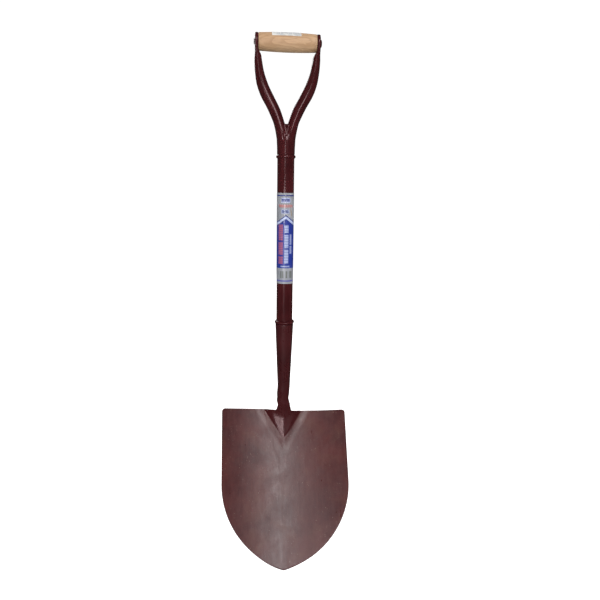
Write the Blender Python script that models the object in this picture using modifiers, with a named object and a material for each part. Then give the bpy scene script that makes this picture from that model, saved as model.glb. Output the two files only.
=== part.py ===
"""All-steel round-mouth shovel (sold as a garden spade) with a wood-gripped metal Y-D handle.

Units are metres and +Z is up. The tool stands on its tip, +X is to the right of somebody facing
the hollow side of the blade, and that hollow side faces -Y. Every piece is modelled in the tool
frame, whose Z axis is the shaft axis and whose zero is the shoulder of the blade. The empty
"tool_frame" then lifts the whole tool so that the world origin is the bottom centre of its box.
"""

from math import acos, cos, pi, radians, sin, sqrt

import bmesh
import bpy
from mathutils import Vector

# ---------------------------------------------------------------- driving dimensions
MM = 0.001
GAP = 0.3 * MM                   # clearance left between neighbouring pieces
MERGE = 0.02 * MM

SHEET = 2.0 * MM                 # pressed steel of the blade and its rolled socket
TUBE_R = 15.875 * MM             # shaft: 1 1/4 in tube
TUBE_WALL = 2.0 * MM

# blade
BLADE_HALF_W = 122.9 * MM
SIDE_LENGTH = 145.0 * MM         # parallel part of each side, from the shoulder down
SIDE_ARC_R = 161.0 * MM          # the two arcs that meet at the point
CORNER_R = 6.0 * MM
DISH_R = 340.0 * MM              # hollow across the blade
LIFT_TOP = radians(28.0)         # forward slope of the blade at the shoulder
LIFT_TIP = radians(33.0)         # and at the point

# frog: the pressed wedge where the socket runs out into the blade
FROG_LENGTH = 62.0 * MM          # where the wedge's sides would meet in a point
FROG_HALF_W = 40.5 * MM          # half width of the wedge at the shoulder
FROG_APEX_R = 5.0 * MM           # rounding of that point
FROG_WALL = 0.75                 # steepness of its sides
SKIRT_W = 21.0 * MM              # gentle swelling of the sheet all round the wedge
SKIRT_SLOPE = 0.23               # and its steepness along the wedge's foot
FACET_TOP = 15.0 * MM            # ridge of the low roof between the sides, at the shoulder
FACET_SLOPE = 0.17               # fall of the roof to each side of it
NECK_RISE = 26.92 * MM           # front of the neck above the sheet, one fillet up the blade
NECK_FALL = 0.98                 # how steeply the neck sinks into the frog
NECK_FLANK = 0.65                # steepness of the neck's sides where it runs out
NECK_FILLET = 3.5 * MM           # round corner between the neck and the tread
NECK_HALF_W = 12.4 * MM          # half width of the neck at that corner
TRIM = 0.15                      # how much of the frog's rise the top edge gives back

# socket, heights above the shoulder
NECK_R = 12.4 * MM
MOUTH_R = 17.7 * MM
NECK_TOP_Z = 54.0 * MM           # below this the socket is parallel, above it is a cone
MOUTH_Z = 181.0 * MM
SEAM_END_Z = 48.0 * MM           # the rolled edges part below this height
SEAM_GAP = 1.0 * MM
OPEN_HALF = 17.0 * MM            # half width of the opened-out socket, along its sheet
OPEN_RUN = 22.0 * MM             # height over which its section flattens above the shoulder

# joints between the shaft and its ends
COLLAR_HALF_H = 3.3 * MM
SOCKET_COLLAR_R = 19.2 * MM
YOKE_COLLAR_R = 18.1 * MM
YOKE_BOTTOM_Z = 502.6 * MM
YOKE_BORE_R = 14.6 * MM
SPIGOT_UP = 30.0 * MM            # how far the shaft reaches into the yoke
SPIGOT_DOWN = 55.0 * MM          # and into the socket
SPIGOT_PLAY = 0.8 * MM           # all round the lower spigot, inside the rolled sheet

# yoke and grip
PIN_Z = 696.5 * MM
EAR_R = 15.1 * MM
EAR_IN = 52.4 * MM               # half the distance between the ears
EAR_OUT = 58.4 * MM
ARM_WALL = 2.0 * MM
CROTCH_WELD_SIZE = (5.0 * MM, 3.0 * MM, 11.5 * MM)   # half width, half depth, half height
CROTCH_WELD_Y = 13.4 * MM        # how far its middle lies in front of the shaft axis, and behind
CROTCH_WELD_Z = 545.0 * MM
PIN_R = 4.0 * MM
GRIP_END_R = 15.0 * MM
GRIP_MID_R = 16.6 * MM
GRIP_CHAMFER = 0.8 * MM
RIVET_HEAD_R = 6.9 * MM
RIVET_HEAD_H = 3.2 * MM
RIVET_PEEN_R = 5.4 * MM
RIVET_PEEN_H = 1.9 * MM

# labels
LABEL_FILM = 0.3 * MM
LABEL_BOTTOM_Z = 262.4 * MM
LABEL_TOP_Z = 433.3 * MM
LABEL_SLIT = radians(4.0)        # open strip where the two ends nearly meet, at the back
GRIP_LABEL_X = (-28.5 * MM, 23.5 * MM)
GRIP_LABEL_ARC = radians(61.0)   # to each side of the top of the grip

# ---------------------------------------------------------------- scene and materials
for old in list(bpy.data.objects):
    bpy.data.objects.remove(old, do_unlink=True)


def new_collection(name):
    collection = bpy.data.collections.new(name)
    bpy.context.scene.collection.children.link(collection)
    return collection


PARTS = new_collection("garden_spade")
CUTTERS = new_collection("cutters")
TOOL = bpy.data.objects.new("tool_frame", None)
PARTS.objects.link(TOOL)


def paint(name, colour, roughness, metallic=0.0):
    material = bpy.data.materials.new(name)
    material.use_nodes = True
    shader = material.node_tree.nodes["Principled BSDF"]
    shader.inputs["Base Color"].default_value = (*colour, 1.0)
    shader.inputs["Roughness"].default_value = roughness
    shader.inputs["Metallic"].default_value = metallic
    return material


OXBLOOD = (0.042, 0.010, 0.011)
BLADE_COAT = (0.085, 0.030, 0.028)
ASH_WOOD = (0.60, 0.40, 0.22)
LABEL_BLUE = (0.03, 0.10, 0.42)
STICKER_WHITE = (0.80, 0.80, 0.78)


# ---------------------------------------------------------------- small helpers
def add_object(name, mesh, material=None, smooth_below=radians(40)):
    """Link a mesh as a part, or as a hidden cutter when it has no material."""
    obj = bpy.data.objects.new(name, mesh)
    mesh.shade_smooth()
    mesh.set_sharp_from_angle(angle=smooth_below)
    obj.parent = TOOL
    if material is None:
        CUTTERS.objects.link(obj)
        obj.hide_render = True
        obj.display_type = "WIRE"
    else:
        PARTS.objects.link(obj)
        mesh.materials.append(material)
    return obj


def mesh_from(name, verts, edges=(), faces=()):
    mesh = bpy.data.meshes.new(name)
    mesh.from_pydata([tuple(v) for v in verts], list(edges), list(faces))
    return mesh


def turned(name, profile, material=None, steps=32):
    """Revolve a closed (radius, height) profile, drawn down its outer side first, about Z."""
    count = len(profile)
    verts = [(r, 0.0, z) for r, z in profile]
    edges = [(i, (i + 1) % count) for i in range(count)]
    obj = add_object(name, mesh_from(name, verts, edges), material)
    screw = obj.modifiers.new("Turn", "SCREW")
    screw.steps = steps
    screw.render_steps = steps
    screw.use_merge_vertices = True
    screw.merge_threshold = MERGE
    screw.use_smooth_shade = True
    return obj


def solid_turned(name, profile, material=None, steps=32):
    """Revolve an open profile that starts and ends on the axis, so that the solid has no bore."""
    verts = [(r, 0.0, z) for r, z in profile]
    edges = [(i, i + 1) for i in range(len(profile) - 1)]
    obj = add_object(name, mesh_from(name, verts, edges), material)
    screw = obj.modifiers.new("Turn", "SCREW")
    screw.steps = steps
    screw.render_steps = steps
    screw.use_merge_vertices = True
    screw.merge_threshold = MERGE
    screw.use_smooth_shade = True
    return obj


def loft(name, rings, material=None):
    """Skin equal-length rings of points, lowest first and anticlockwise from above, and cap them."""
    count = len(rings[0])
    verts = [point for ring in rings for point in ring]
    faces = [tuple(reversed(range(count)))]
    for k in range(len(rings) - 1):
        for i in range(count):
            j = (i + 1) % count
            faces.append((k * count + i, k * count + j, (k + 1) * count + j, (k + 1) * count + i))
    faces.append(tuple(range((len(rings) - 1) * count, len(rings) * count)))
    return add_object(name, mesh_from(name, verts, (), faces), material)


def boolean(obj, other, operation):
    modifier = obj.modifiers.new(other.name, "BOOLEAN")
    modifier.operation = operation
    modifier.solver = "EXACT"
    modifier.object = other


def thicken(obj, thickness):
    """Give a sheet its thickness behind the modelled face."""
    modifier = obj.modifiers.new("Thickness", "SOLIDIFY")
    modifier.thickness = thickness
    modifier.offset = -1.0
    modifier.use_even_offset = True


def lie_along_x(obj, height):
    """Turn a piece made about Z so that its top points to +X, on the grip's axis."""
    obj.rotation_euler = (0.0, radians(90), 0.0)
    obj.location = (0.0, 0.0, height)


def smooth_step(t):
    t = min(max(t, 0.0), 1.0)
    return t * t * (3.0 - 2.0 * t)


def through(stations, z, column):
    """Read one column of a station list at height z along a smooth curve through its rows."""
    last = len(stations) - 1
    k = max(i for i in range(last) if stations[i][0] <= z or i == 0)

    def slope(i):
        a = stations[max(i - 1, 0)]
        b = stations[min(i + 1, last)]
        return (b[column] - a[column]) / (b[0] - a[0])

    low, high = stations[k], stations[k + 1]
    span = high[0] - low[0]
    t = min(max((z - low[0]) / span, 0.0), 1.0)
    rise = high[column] - low[column]
    m0 = slope(k) * span
    m1 = slope(k + 1) * span
    return low[column] + t * m0 + t * t * (3 * rise - 2 * m0 - m1) + t ** 3 * (m0 + m1 - 2 * rise)


# ---------------------------------------------------------------- the pressed sheet
def soft_max(a, b, width):
    """The larger of two heights, with a round valley where they meet."""
    near = max(width - abs(a - b), 0.0)
    return max(a, b) + near * near / (4 * width)


def soft_min(a, b, width):
    return -soft_max(-a, -b, width)


def neck_side(u):
    """How far the round front of the neck has fallen away, u to the side of its crest."""
    bend = NECK_FLANK * NECK_R
    return NECK_FLANK * (sqrt(u * u + bend * bend) - bend)


def frog_height(b, u):
    """How far the frog stands in front of the dished blade, b below the shoulder, u from centre.

    The sheet swells gently towards a wedge with steeper sides and a low ridged roof, into which
    the round neck sinks.
    """
    outside = sqrt(u * u + FROG_APEX_R ** 2) - FROG_HALF_W * (1.0 - b / FROG_LENGTH)
    foot = SKIRT_SLOPE * SKIRT_W / 2
    if outside > 0:
        return foot * max(1.0 - outside / SKIRT_W, 0.0) ** 2
    roof = foot + FACET_TOP * max(1.0 - b / FROG_LENGTH, 0.0) ** 1.5 - FACET_SLOPE * abs(u)
    neck = NECK_RISE - NECK_FALL * (b + NECK_FILLET) - neck_side(u)
    return soft_min(soft_max(neck, roof, 9 * MM), foot - FROG_WALL * outside, 2 * MM)


TIP_B = SIDE_LENGTH + sqrt(SIDE_ARC_R ** 2 - (SIDE_ARC_R - BLADE_HALF_W) ** 2)
TIP_ANGLE = acos((SIDE_ARC_R - BLADE_HALF_W) / SIDE_ARC_R)
LIFT_RATE = (LIFT_TIP - LIFT_TOP) / TIP_B
# the sheet is set back so that its neck meets the front of the socket one fillet up
SHOULDER_Y = NECK_RISE * cos(LIFT_TOP) - NECK_FILLET * sin(LIFT_TOP) - NECK_R


def blade_point(b, u):
    """A point on the hollow face, b along the blade from the shoulder and u across it."""
    lift = LIFT_TOP + LIFT_RATE * max(b, 0.0)
    if b <= 0.0:
        y = SHOULDER_Y - b * sin(LIFT_TOP)
        z = -b * cos(LIFT_TOP)
    else:
        y = SHOULDER_Y - (cos(LIFT_TOP) - cos(lift)) / LIFT_RATE
        z = -(sin(lift) - sin(LIFT_TOP)) / LIFT_RATE
    dish = DISH_R - sqrt(DISH_R ** 2 - u * u)
    front = dish + frog_height(b, u)
    return Vector((u, y - front * cos(lift), z + front * sin(lift)))


def shoulder_edge(u):
    """Where the sheet's top edge lies at u: up the neck, level along the tread, round the corner.

    The edge is trimmed nearly level, so it dips a little where the frog stands forward.
    """
    if u <= NECK_HALF_W:
        return -NECK_FILLET
    dip = TRIM * frog_height(0.0, u) * smooth_step((u - NECK_HALF_W) / (9 * MM))
    corner = u - (BLADE_HALF_W - CORNER_R)
    if corner > 0:
        return CORNER_R - sqrt(max(CORNER_R ** 2 - corner ** 2, 0.0))
    beside_neck = max(NECK_FILLET - (u - NECK_HALF_W), 0.0)
    return dip + sqrt(max(NECK_FILLET ** 2 - beside_neck ** 2, 0.0)) - NECK_FILLET


def bottom_edge(t):
    """The blade's lower outline as (b, u), from the point at t = 0 to the side at t = 1."""
    turn = TIP_ANGLE * (1.0 - t)
    return SIDE_LENGTH + SIDE_ARC_R * sin(turn), BLADE_HALF_W - SIDE_ARC_R * (1 - cos(turn))


NECK_ROW_Z = blade_point(-NECK_FILLET, 0.0).z


def socket_radius(z):
    cone = (z - NECK_TOP_Z) / (MOUTH_Z - NECK_TOP_Z)
    return NECK_R + (MOUTH_R - NECK_R) * min(max(cone, 0.0), 1.0)


def tongue_point(z, share):
    """A point on the rolled socket, at crest height z and a share of the way round to its edge."""
    radius = socket_radius(z)
    closed = pi * radius - SEAM_GAP / 2
    parted = 1.0 - smooth_step((z - NECK_ROW_Z) / (SEAM_END_Z - NECK_ROW_Z))
    half = closed + (OPEN_HALF - closed) * parted
    turn = share * half / radius
    x = radius * sin(turn)
    depth = radius * (1 - cos(turn))
    flat = 1.0 - smooth_step((z - NECK_ROW_Z) / OPEN_RUN)
    x += (share * NECK_HALF_W - x) * flat
    depth += (neck_side(share * NECK_HALF_W) - depth) * flat
    tilt = LIFT_TOP * parted
    return Vector((x, -radius + depth * cos(tilt), z - depth * sin(tilt)))


def row_shares(frog_rows, blade_rows):
    """Shares of the way down the blade, close together over the frog and wider below it."""
    frog_share = (FROG_LENGTH + SKIRT_W) / TIP_B
    shares = [frog_share * k / frog_rows for k in range(frog_rows)]
    return shares + [frog_share + (1.0 - frog_share) * k / blade_rows for k in range(blade_rows + 1)]


def sheet_half(neck_cols, foot_cols, wing_cols, frog_rows, blade_rows, tongue_heights):
    """Right half of the pressed sheet: verts and faces, with the socket above the neck columns."""
    inner = [NECK_HALF_W * i / neck_cols for i in range(neck_cols + 1)]
    foot = FROG_HALF_W + SKIRT_W
    outer = [NECK_HALF_W + (foot - NECK_HALF_W) * i / foot_cols for i in range(1, foot_cols + 1)]
    flat_end = BLADE_HALF_W - CORNER_R
    outer += [foot + (flat_end - foot) * i / wing_cols for i in range(1, wing_cols + 1)]
    outer += [flat_end + CORNER_R * sin(radians(a)) for a in (30, 60, 90)]
    columns = inner + outer
    verts = []
    for z in tongue_heights:
        verts += [tongue_point(z, i / neck_cols) for i in range(neck_cols + 1)]
    blade_start = len(verts)
    for s in row_shares(frog_rows, blade_rows):
        for u in columns:
            b0 = shoulder_edge(u)
            b1, u1 = bottom_edge(u / BLADE_HALF_W)
            verts.append(blade_point(b0 + (b1 - b0) * s, u + (u1 - u) * s))
    faces = []
    width = neck_cols + 1
    for k in range(len(tongue_heights)):
        top = k * width
        below = top + width if k + 1 < len(tongue_heights) else blade_start
        for i in range(neck_cols):
            faces.append((top + i, below + i, below + i + 1, top + i + 1))
    width = len(columns)
    for k in range(frog_rows + blade_rows):
        top = blade_start + k * width
        below = top + width
        for i in range(width - 1):
            faces.append((top + i, below + i, below + i + 1, top + i + 1))
    return verts, faces


def make_blade():
    cone_rows = 7
    heights = [MOUTH_Z + (NECK_TOP_Z - MOUTH_Z) * k / cone_rows for k in range(cone_rows + 1)]
    open_rows = 6
    heights += [NECK_TOP_Z + (NECK_ROW_Z - NECK_TOP_Z) * k / open_rows for k in range(1, open_rows)]
    verts, faces = sheet_half(7, 12, 5, 16, 8, heights)
    coat = paint("blade_coat", BLADE_COAT, 0.4)
    blade = add_object("blade", mesh_from("blade", verts, (), faces), coat)
    mirror = blade.modifiers.new("Mirror", "MIRROR")
    mirror.use_axis = (True, False, False)
    mirror.merge_threshold = MERGE
    thicken(blade, SHEET)
    return blade


def make_socket_seam_weld():
    """Weld bead that closes the rolled socket down its back."""
    half_w = 2.6 * MM
    proud = 1.3 * MM
    arch = [radians(a) for a in range(0, 181, 30)]
    top, bottom = MOUTH_Z - 3 * MM, SEAM_END_Z + 4 * MM
    rows = 14
    rings = []
    for k in range(rows + 1):
        z = bottom + (top - bottom) * k / rows
        taper = 0.5 if k in (0, rows) else 1.0
        base = socket_radius(z) + GAP
        ring = [(half_w * taper * cos(a), base + proud * taper * sin(a), z) for a in arch]
        rings.append(ring)
    return loft("socket_seam_weld", rings, paint("seam_paint", OXBLOOD, 0.35))


# ---------------------------------------------------------------- shaft
def make_shaft_tube():
    """Tube with a short swaged spigot at the top and a tapered one at the bottom."""
    collar_top = MOUTH_Z + GAP
    up_z = YOKE_BOTTOM_Z + SPIGOT_UP
    down_z = MOUTH_Z - SPIGOT_DOWN
    spigot_r = YOKE_BORE_R - GAP
    at_mouth = socket_radius(MOUTH_Z) - SHEET - SPIGOT_PLAY
    at_end = socket_radius(down_z) - SHEET - SPIGOT_PLAY
    shoulder_up = YOKE_BOTTOM_Z - 2 * MM
    profile = [
        (spigot_r, up_z),
        (spigot_r, YOKE_BOTTOM_Z),
        (TUBE_R, shoulder_up),
        (TUBE_R, collar_top + 2 * MM),
        (at_mouth, MOUTH_Z),
        (at_end, down_z),
        (at_end - TUBE_WALL, down_z),
        (at_mouth - TUBE_WALL, MOUTH_Z),
        (TUBE_R - TUBE_WALL, collar_top + 2 * MM),
        (TUBE_R - TUBE_WALL, shoulder_up),
        (spigot_r - TUBE_WALL, YOKE_BOTTOM_Z),
        (spigot_r - TUBE_WALL, up_z),
    ]
    return turned("shaft_tube", profile, paint("shaft_paint", OXBLOOD, 0.3))


def make_collar(name, centre_z, outer_r):
    """Round weld collar where the shaft enters the yoke or the socket."""
    inner_r = TUBE_R + GAP
    bulge = [
        (inner_r + (outer_r - inner_r) * cos(radians(a)), centre_z + COLLAR_HALF_H * sin(radians(a)))
        for a in range(75, -76, -30)
    ]
    profile = [(inner_r, centre_z + COLLAR_HALF_H)] + bulge + [(inner_r, centre_z - COLLAR_HALF_H)]
    return turned(name, profile, paint(name + "_paint", OXBLOOD, 0.35))


# ---------------------------------------------------------------- yoke
# height, centre offset, half width, half depth, squareness of one arm of the yoke (mm)
ARM_STATIONS = (
    (510.0, 8.0, 7.6, 12.6, 2.0),
    (528.0, 8.6, 8.4, 14.2, 2.0),
    (542.0, 9.5, 9.4, 14.8, 2.0),
    (556.0, 12.3, 10.2, 14.2, 2.0),
    (563.0, 14.7, 10.4, 13.6, 2.0),
    (584.0, 23.7, 11.5, 12.0, 2.0),
    (605.0, 35.3, 11.8, 10.8, 2.0),
    (625.0, 44.1, 10.4, 10.4, 2.0),
    (646.0, 49.7, 8.4, 11.0, 2.1),
    (666.0, 52.4, 6.9, 12.6, 2.6),
    (674.0, 53.4, 5.3, 13.4, 3.5),
    (681.0, 55.4, 3.0, 14.2, 5.0),
    (696.5, 55.4, 3.0, 15.1, 6.0),
)
# height, half width, half depth of the stem, which narrows to a web between the arms (mm)
STEM_STATIONS = (
    (502.6, 16.4, 16.4),
    (514.0, 16.5, 16.4),
    (528.0, 17.1, 16.0),
    (538.0, 16.6, 14.8),
    (546.0, 11.5, 13.0),
    (553.0, 6.5, 9.5),
    (557.0, 3.0, 5.0),
)
RING_POINTS = 16


def oval(centre_x, half_w, half_d, z, power=2.0):
    """A level superellipse ring; power 2 is an ellipse and larger powers are squarer."""
    ring = []
    for i in range(RING_POINTS):
        angle = 2 * pi * (i + 0.5) / RING_POINTS
        c, s = cos(angle), sin(angle)
        x = abs(c) ** (2 / power) * (1 if c > 0 else -1)
        y = abs(s) ** (2 / power) * (1 if s > 0 else -1)
        ring.append((centre_x + half_w * x, half_d * y, z))
    return ring


def arm_ring(side, height, wall=0.0):
    """One level section of an arm, at a height in mm; a wall gives the bore inside it."""
    centre, half_w, half_d, power = (through(ARM_STATIONS, height, c) for c in (1, 2, 3, 4))
    return oval(side * centre * MM, half_w * MM - wall, half_d * MM - wall, height * MM, power)


def make_arm(name, side):
    pin = PIN_Z / MM
    heights = [510, 528, 542, 552, 560, 568, 577, 586, 595, 605, 615, 625, 636, 646, 656, 666]
    heights += [670, 674, 678, 681, 688, pin]
    rings = [arm_ring(side, h) for h in heights]
    for angle in (20, 38, 54, 68, 80):
        a = radians(angle)
        centre = side * (EAR_IN + EAR_OUT) / 2
        half_w = (EAR_OUT - EAR_IN) / 2
        rings.append(oval(centre, half_w, EAR_R * cos(a), PIN_Z + EAR_R * sin(a), 6.0))
    return loft(name, rings)


def make_arm_bore(name, side):
    heights = [516, 530, 544, 556, 568, 580, 592, 605, 618, 632, 646, 658]
    rings = [arm_ring(side, h, ARM_WALL) for h in heights]
    return loft(name, rings)


def make_yoke():
    """Split tube: a stem, two hollow arms bowed round the hand, and a flattened ear on each."""
    rings = [oval(0.0, w * MM, d * MM, h * MM) for h, w, d in STEM_STATIONS]
    yoke = loft("yoke", rings, paint("yoke_paint", OXBLOOD, 0.3))
    for name, side in (("left", -1), ("right", 1)):
        boolean(yoke, make_arm("arm_form_" + name, side), "UNION")
    for name, side in (("left", -1), ("right", 1)):
        boolean(yoke, make_arm_bore("arm_bore_" + name, side), "DIFFERENCE")
    bore_top = 534 * MM
    below = YOKE_BOTTOM_Z - 5 * MM
    bore = solid_turned(
        "stem_bore", [(0.0, bore_top), (YOKE_BORE_R, bore_top), (YOKE_BORE_R, below), (0.0, below)]
    )
    boolean(yoke, bore, "DIFFERENCE")
    reach = EAR_OUT + 5 * MM
    hole_r = PIN_R + GAP
    drill = [(0.0, reach), (hole_r, reach), (hole_r, -reach), (0.0, -reach)]
    hole = solid_turned("pin_hole", drill, steps=24)
    lie_along_x(hole, PIN_Z)
    boolean(yoke, hole, "DIFFERENCE")
    weld_paint = paint("weld_paint", OXBLOOD, 0.35)
    for name, side in (("front", -1), ("back", 1)):
        boolean(yoke, weld_lump("weld_pocket_" + name, side, GAP), "DIFFERENCE")
        weld_lump("crotch_weld_" + name, side, 0.0, weld_paint)
    return yoke


def weld_lump(name, side, extra, material=None):
    """Egg-shaped lump of weld in the fork, on the front (side -1) or the back (side 1)."""
    bm = bmesh.new()
    bmesh.ops.create_uvsphere(bm, u_segments=16, v_segments=8, radius=1.0)
    half_w, half_d, half_h = (size + extra for size in CROTCH_WELD_SIZE)
    bmesh.ops.scale(bm, vec=(half_w, half_d, half_h), verts=bm.verts)
    bmesh.ops.translate(bm, vec=(0.0, side * CROTCH_WELD_Y, CROTCH_WELD_Z), verts=bm.verts)
    mesh = bpy.data.meshes.new(name)
    bm.to_mesh(mesh)
    bm.free()
    return add_object(name, mesh, material)


# ---------------------------------------------------------------- grip
def grip_radius(x):
    """Barrel radius at x from the middle."""
    return GRIP_MID_R - (GRIP_MID_R - GRIP_END_R) * (x / EAR_IN) ** 2


def make_grip():
    half = EAR_IN - GAP
    bore = PIN_R + GAP
    steps = 8
    side = [half - GRIP_CHAMFER - 2 * (half - GRIP_CHAMFER) * k / steps for k in range(steps + 1)]
    profile = [(bore, half), (grip_radius(half) - GRIP_CHAMFER, half)]
    profile += [(grip_radius(x), x) for x in side]
    profile += [(grip_radius(half) - GRIP_CHAMFER, -half), (bore, -half)]
    grip = turned("grip", profile, paint("ash_wood", ASH_WOOD, 0.55))
    lie_along_x(grip, PIN_Z)
    return grip


def cap_profile(base, reach, height, direction):
    """Points of a domed rivet end from its rim to its crown, along the pin."""
    angles = (0, 30, 55, 75)
    return [(reach * cos(radians(a)), base + direction * height * sin(radians(a))) for a in angles]


def make_grip_rivet():
    """Rod through ears and grip, with a round head on the right and a peened end on the left."""
    face = EAR_OUT + GAP
    rim, peen_rim = 0.6 * MM, 0.4 * MM
    head = [(RIVET_HEAD_R, face)]
    head += cap_profile(face + rim, RIVET_HEAD_R, RIVET_HEAD_H - rim, 1)
    peen = [(RIVET_PEEN_R, -face)]
    peen += cap_profile(-face - peen_rim, RIVET_PEEN_R, RIVET_PEEN_H - peen_rim, -1)
    profile = [(0.0, face + RIVET_HEAD_H)] + head[::-1] + [(PIN_R, face), (PIN_R, -face)]
    profile += peen + [(0.0, -face - RIVET_PEEN_H)]
    rivet = solid_turned("grip_rivet", profile, paint("rivet_paint", OXBLOOD, 0.35), steps=24)
    lie_along_x(rivet, PIN_Z)
    return rivet


# ---------------------------------------------------------------- labels
def curved_sheet(name, radii, stations, start, end, columns, material):
    """Open sheet bent about Z: one row per station, over the angles from start to end."""
    verts = []
    for radius, z in zip(radii, stations):
        for i in range(columns + 1):
            angle = start + (end - start) * i / columns
            verts.append((radius * cos(angle), radius * sin(angle), z))
    width = columns + 1
    faces = [
        (k * width + i, (k + 1) * width + i, (k + 1) * width + i + 1, k * width + i + 1)
        for k in range(len(stations) - 1)
        for i in range(columns)
    ]
    label = add_object(name, mesh_from(name, verts, (), faces), material)
    thicken(label, LABEL_FILM)
    return label


def make_shaft_label():
    """Printed film wrapped round the shaft, its ends meeting at the back."""
    radius = TUBE_R + GAP + LABEL_FILM
    start = radians(90) + LABEL_SLIT / 2
    end = radians(450) - LABEL_SLIT / 2
    heights = (LABEL_TOP_Z, LABEL_BOTTOM_Z)
    blue = paint("label_film", LABEL_BLUE, 0.35)
    return curved_sheet("shaft_label", (radius, radius), heights, start, end, 32, blue)


def make_grip_label():
    """Paper sticker over the top of the grip."""
    x0, x1 = GRIP_LABEL_X
    steps = 5
    stations = [x1 + (x0 - x1) * k / steps for k in range(steps + 1)]
    radii = [grip_radius(x) + GAP + LABEL_FILM for x in stations]
    white = paint("sticker_paper", STICKER_WHITE, 0.6)
    up = radians(180)
    label = curved_sheet(
        "grip_label", radii, stations, up - GRIP_LABEL_ARC, up + GRIP_LABEL_ARC, 10, white
    )
    lie_along_x(label, PIN_Z)
    return label


# ---------------------------------------------------------------- assembly
def stand_on_bottom_centre():
    """Lift the tool so that the world origin is the bottom centre of the box round all parts."""
    bpy.context.view_layer.update()
    depsgraph = bpy.context.evaluated_depsgraph_get()
    corners = []
    for obj in PARTS.objects:
        if obj.type == "MESH":
            evaluated = obj.evaluated_get(depsgraph)
            corners += [evaluated.matrix_world @ v.co for v in evaluated.data.vertices]
    front = min(c.y for c in corners)
    back = max(c.y for c in corners)
    lowest = min(c.z for c in corners)
    TOOL.location = (0.0, -(front + back) / 2, -lowest)
    bpy.context.view_layer.update()


make_blade()
make_socket_seam_weld()
make_collar("socket_collar", MOUTH_Z + GAP + COLLAR_HALF_H, SOCKET_COLLAR_R)
make_shaft_tube()
make_collar("yoke_collar", YOKE_BOTTOM_Z - GAP - COLLAR_HALF_H, YOKE_COLLAR_R)
make_yoke()
make_grip()
make_grip_rivet()
make_shaft_label()
make_grip_label()
stand_on_bottom_centre()
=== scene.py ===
"""Looks of the garden spade: an all-steel round-mouth shovel with a wood-gripped D handle.

Every CAD node is replaced by a fine mesh of the same size in the same place. The meshes are
modelled in the tool frame, whose Z axis is the shaft axis and whose zero is the shoulder of the
blade; show() then shifts each of them once, by TOOL, into the shared frame.
"""

from math import acos, asin, cos, exp, pi, radians, sin, sqrt, tanh

import bmesh
import bpy
from mathutils import Matrix, Vector, noise


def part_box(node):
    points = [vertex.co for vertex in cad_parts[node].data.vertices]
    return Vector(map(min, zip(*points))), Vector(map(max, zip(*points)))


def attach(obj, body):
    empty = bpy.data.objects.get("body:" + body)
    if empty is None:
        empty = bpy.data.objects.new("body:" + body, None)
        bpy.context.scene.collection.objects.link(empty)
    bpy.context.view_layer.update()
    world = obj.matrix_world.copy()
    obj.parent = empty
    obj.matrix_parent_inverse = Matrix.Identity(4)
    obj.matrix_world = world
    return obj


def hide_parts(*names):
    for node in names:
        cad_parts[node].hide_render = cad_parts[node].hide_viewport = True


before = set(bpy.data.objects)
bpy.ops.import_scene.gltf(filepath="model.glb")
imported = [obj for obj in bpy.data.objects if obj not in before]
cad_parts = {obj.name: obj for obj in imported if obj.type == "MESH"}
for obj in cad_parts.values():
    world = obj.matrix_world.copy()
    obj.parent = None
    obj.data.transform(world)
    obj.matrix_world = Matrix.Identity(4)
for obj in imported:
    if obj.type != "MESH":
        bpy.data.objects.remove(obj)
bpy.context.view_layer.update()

# ------------------------------------------------------------------ sizes taken from the frame
MM = 0.001
TUBE_LOW, TUBE_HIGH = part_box("shaft_tube")
BLADE_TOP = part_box("blade")[1].z
YOKE_LOW, YOKE_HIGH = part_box("yoke")
GRIP_LOW, GRIP_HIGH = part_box("grip")
RIVET_LOW, RIVET_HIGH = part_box("grip_rivet")
LABEL_LOW, LABEL_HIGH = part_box("shaft_label")
STICKER_LOW, STICKER_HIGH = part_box("grip_label")
SOCKET_COLLAR_LOW, SOCKET_COLLAR_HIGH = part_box("socket_collar")
YOKE_COLLAR_LOW, YOKE_COLLAR_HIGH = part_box("yoke_collar")
SEAM_LOW, SEAM_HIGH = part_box("socket_seam_weld")
LUMP_LOW, LUMP_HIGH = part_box("crotch_weld_front")

SHEET = 2.0 * MM                       # steel of the blade and its rolled socket
MOUTH_Z = 181.0 * MM                   # the socket's mouth above the blade's shoulder
TOOL = Vector((0.0, (TUBE_LOW.y + TUBE_HIGH.y) / 2, BLADE_TOP - MOUTH_Z))
TUBE_R = (TUBE_HIGH.x - TUBE_LOW.x) / 2
PIN_Z = (GRIP_LOW.z + GRIP_HIGH.z) / 2 - TOOL.z
GRIP_HALF = (GRIP_HIGH.x - GRIP_LOW.x) / 2
GRIP_MID_R = (GRIP_HIGH.z - GRIP_LOW.z) / 2
EAR_OUT = YOKE_HIGH.x
YOKE_BOTTOM_Z = YOKE_LOW.z - TOOL.z

# pressed sheet: the CAD blade's dimensions, with the frog's point drawn out a little lower
BLADE_HALF_W = 122.9 * MM
SIDE_LENGTH = 145.0 * MM               # parallel part of each side, from the shoulder down
SIDE_ARC_R = 161.0 * MM                # the two arcs that meet at the point
CORNER_R = 6.0 * MM
DISH_R = 340.0 * MM                    # hollow across the blade
LIFT_TOP = radians(28.0)               # forward slope at the shoulder
LIFT_TIP = radians(33.0)               # and at the point
FROG_LENGTH = 66.0 * MM                # frog: the pressed wedge below the socket
FROG_HALF_W = 40.5 * MM                # half width of the wedge at the shoulder
FROG_APEX_R = 4.0 * MM                 # rounding of its lower point
FROG_WALL = 0.75                       # steepness of its sides
SKIRT_W = 21.0 * MM                    # gentle swelling of the sheet all round the wedge
SKIRT_SLOPE = 0.23                     # and its steepness along the wedge's foot
FACET_TOP = 15.0 * MM                  # ridge of the low roof between the sides
FACET_SLOPE = 0.17                     # fall of the roof to each side of it
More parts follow.
